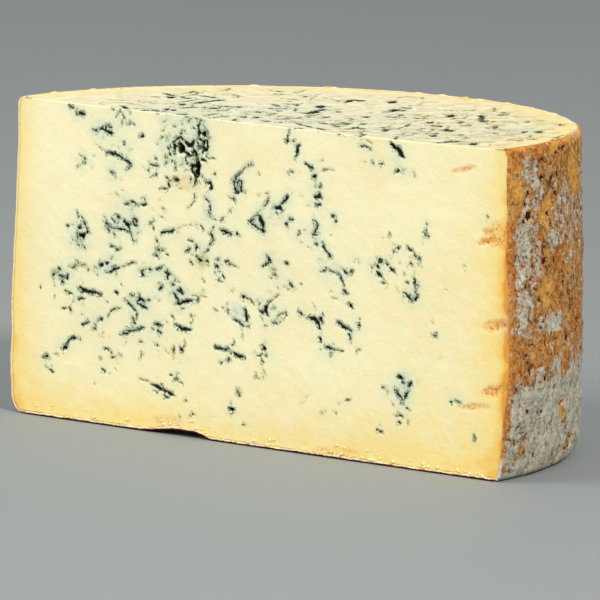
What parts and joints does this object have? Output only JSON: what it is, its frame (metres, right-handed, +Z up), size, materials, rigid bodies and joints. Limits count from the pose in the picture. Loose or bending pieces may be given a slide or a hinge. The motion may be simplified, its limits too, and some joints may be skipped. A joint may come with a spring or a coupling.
{
  "type": "stilton wedge",
  "caption": "Half-moon section of a blue-veined wheel cheese, cut flat on its upright face and top, with craggy natural rind round the curved wall and base.",
  "frame": {"origin": "under the middle of the piece, on the table", "axes": "+X along the cut face to the right, +Y from the cut face into the cheese, +Z up"},
  "size_m": [0.2043, 0.1075, 0.105],
  "materials": {
    "paste": "moist crumbly cream paste with blue-green veins, and a dry ochre rind with grey bloom"
  },
  "bodies": {
    "root": {"cheese": "paste"}
  },
  "joints": []
}
